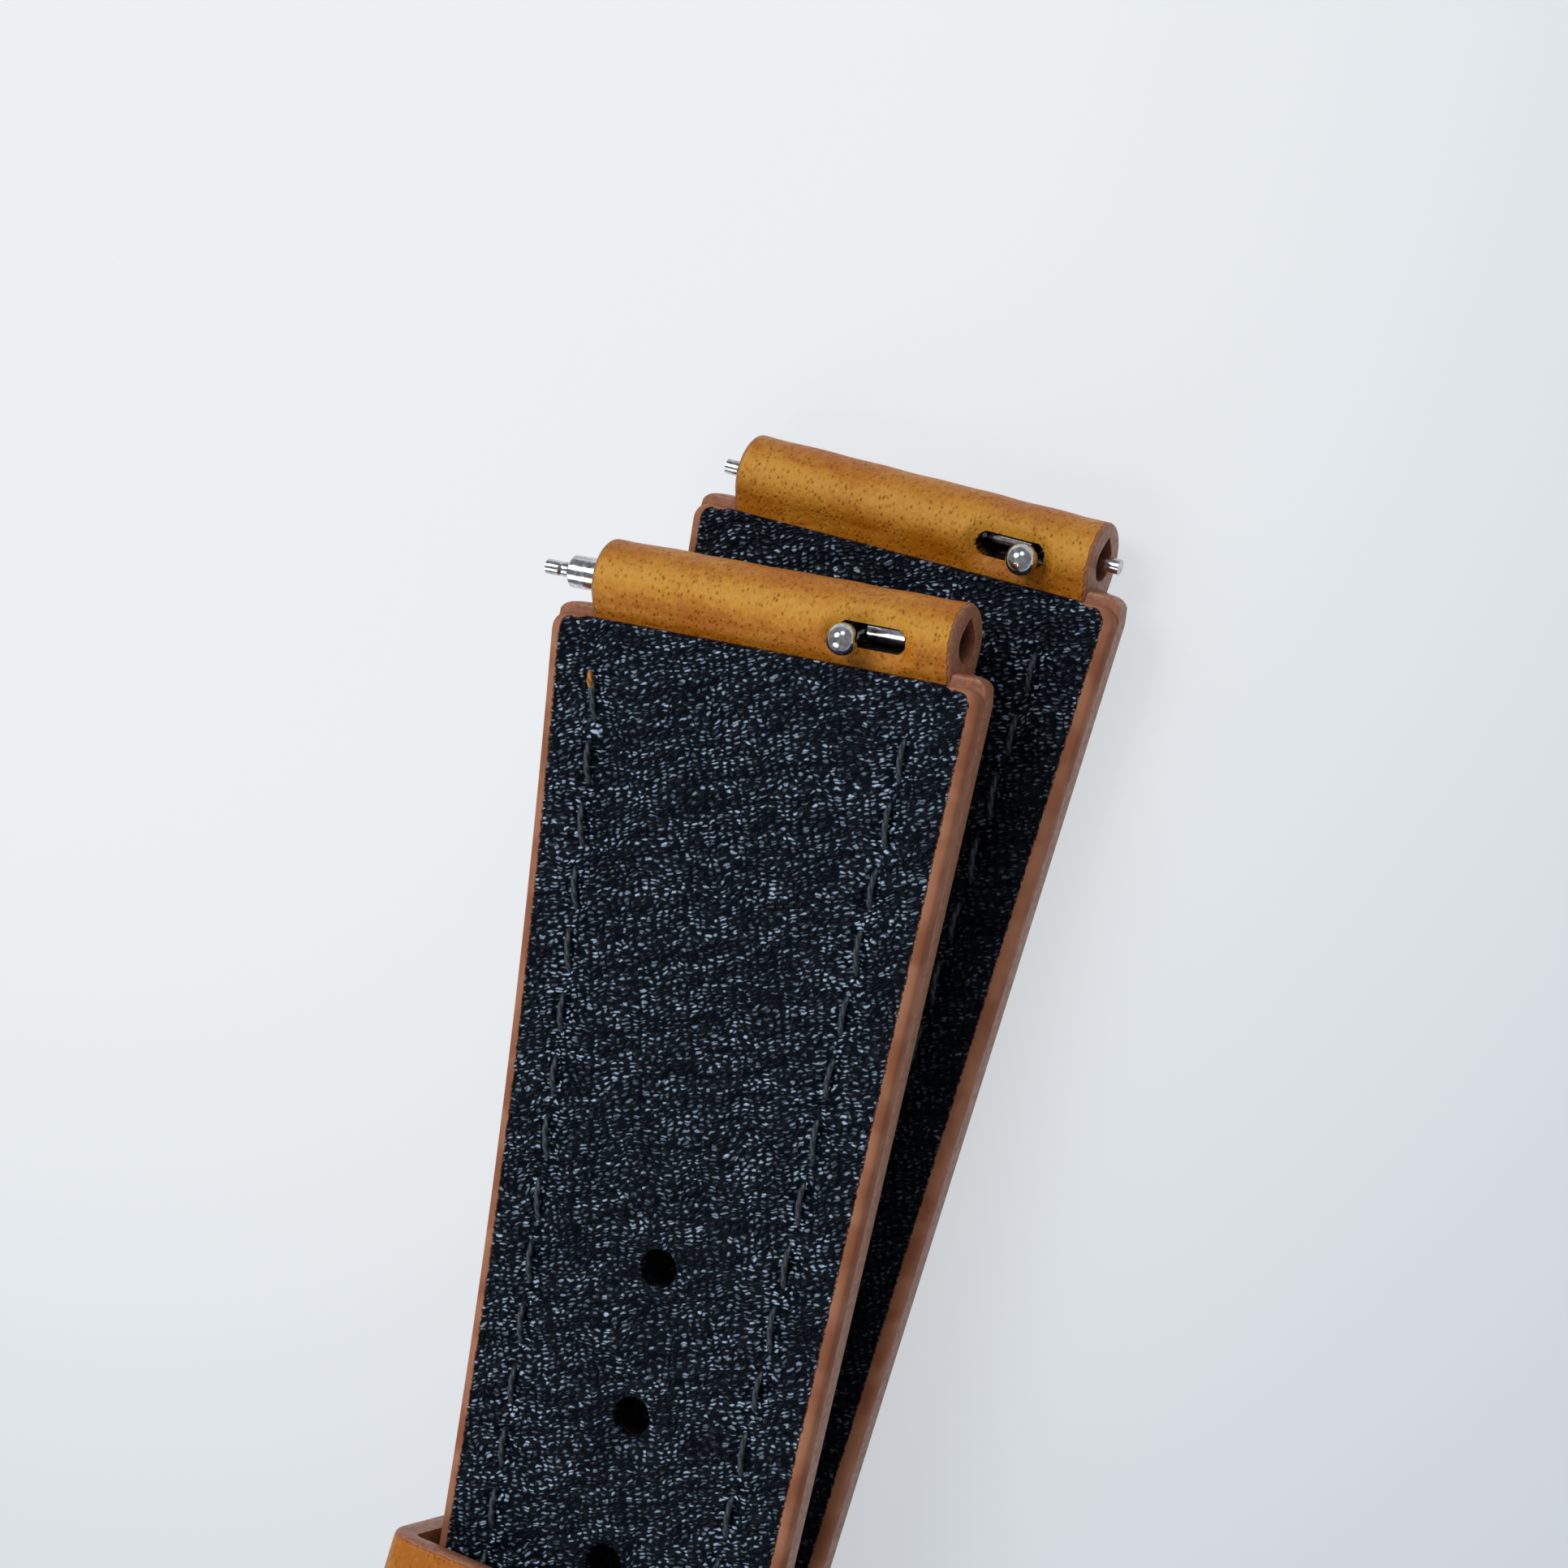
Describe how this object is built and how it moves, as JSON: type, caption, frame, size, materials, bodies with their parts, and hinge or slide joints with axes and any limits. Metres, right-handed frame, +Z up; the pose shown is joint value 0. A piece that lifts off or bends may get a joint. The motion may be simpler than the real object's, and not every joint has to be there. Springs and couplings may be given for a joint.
{
  "type": "two-piece watch strap",
  "caption": "Two-piece leather watch strap with quick-release spring bars, tang buckle, sewn keeper and loose keeper, lying lining side up.",
  "frame": {"origin": "centre of the base of the strap's bounding box, on the table it lies on, lining side up", "axes": "+Y towards the ends that fit the watch, +X to the right when the lining faces the viewer, +Z up, out of the lining"},
  "size_m": [0.0274, 0.11, 0.0189],
  "materials": {
    "tan_leather": "oiled, mottled",
    "black_lining": "pebbled satin",
    "filler_leather": "matte",
    "polished_steel": "polished",
    "buckle_steel": "polished",
    "spring_steel": "bright drawn"
  },
  "bodies": {
    "short_half": {"short_outer_leather": "tan_leather", "short_filler": "filler_leather", "short_lining": "black_lining", "fixed_keeper": "tan_leather"},
    "long_half": {"long_outer_leather": "tan_leather", "long_filler": "filler_leather", "long_lining": "black_lining"},
    "free_keeper": {"free_keeper": "tan_leather"},
    "short_bar_release": {"short_bar_pin": "polished_steel", "short_bar_knob": "polished_steel"},
    "short_bar_body": {"short_bar_barrel": "polished_steel", "short_bar_fixed_tip": "polished_steel", "short_bar_spring": "spring_steel"},
    "long_bar_release": {"long_bar_pin": "polished_steel", "long_bar_knob": "polished_steel"},
    "long_bar_body": {"long_bar_barrel": "polished_steel", "long_bar_fixed_tip": "polished_steel", "long_bar_spring": "spring_steel"},
    "buckle": {"buckle_frame": "buckle_steel", "buckle_bar_barrel": "polished_steel", "buckle_bar_spring": "spring_steel"},
    "buckle_tang": {"buckle_tang": "buckle_steel"},
    "buckle_tip_right": {"buckle_bar_tip_right": "polished_steel"},
    "buckle_tip_left": {"buckle_bar_tip_left": "polished_steel"}
  },
  "joints": [
    {"name": "free_keeper_slide", "type": "slide", "parent": "short_half", "child": "free_keeper", "axis": [0, 0.9958, -0.092], "range_m": [-0.002, 0.003]},
    {"name": "long_half_slide", "type": "slide", "parent": "short_half", "child": "long_half", "axis": [-0.0761, 0.9928, -0.0921], "range_m": [-0.004, 0.02]},
    {"name": "short_bar_shift", "type": "slide", "parent": "short_half", "child": "short_bar_release", "axis": [1, 0, 0], "range_m": [-0.002, 0.00015]},
    {"name": "short_bar_press", "type": "slide", "parent": "short_bar_release", "child": "short_bar_body", "axis": [1, 0, 0], "range_m": [0, 0.0022], "stiffness_N_per_m": 100, "springref_m": -0.002, "deforming": ["short_bar_spring"]},
    {"name": "long_bar_shift", "type": "slide", "parent": "long_half", "child": "long_bar_release", "axis": [0.9971, 0.0767, 0.0028], "range_m": [-0.00015, 0.002]},
    {"name": "long_bar_press", "type": "slide", "parent": "long_bar_release", "child": "long_bar_body", "axis": [0.9971, 0.0767, 0.0028], "range_m": [0, 0.0022], "stiffness_N_per_m": 100, "springref_m": -0.002, "deforming": ["long_bar_spring"]},
    {"name": "buckle_hinge", "type": "hinge", "parent": "short_half", "child": "buckle", "pos_m": [0.00147, -0.01647, 0.00551], "axis": [1, 0, 0], "range_deg": [-30, 45]},
    {"name": "tang_hinge", "type": "hinge", "parent": "buckle", "child": "buckle_tang", "pos_m": [0.00147, -0.01647, 0.00551], "axis": [1, 0, 0], "range_deg": [-1, 50]},
    {"name": "buckle_tip_right_press", "type": "slide", "parent": "buckle", "child": "buckle_tip_right", "axis": [-1, 0, 0], "range_m": [0, 0.0011], "stiffness_N_per_m": 100, "springref_m": -0.002, "deforming": ["buckle_bar_spring"]},
    {"name": "buckle_tip_left_press", "type": "slide", "parent": "buckle", "child": "buckle_tip_left", "axis": [1, 0, 0], "range_m": [0, 0.0011], "stiffness_N_per_m": 100, "springref_m": -0.002}
  ]
}
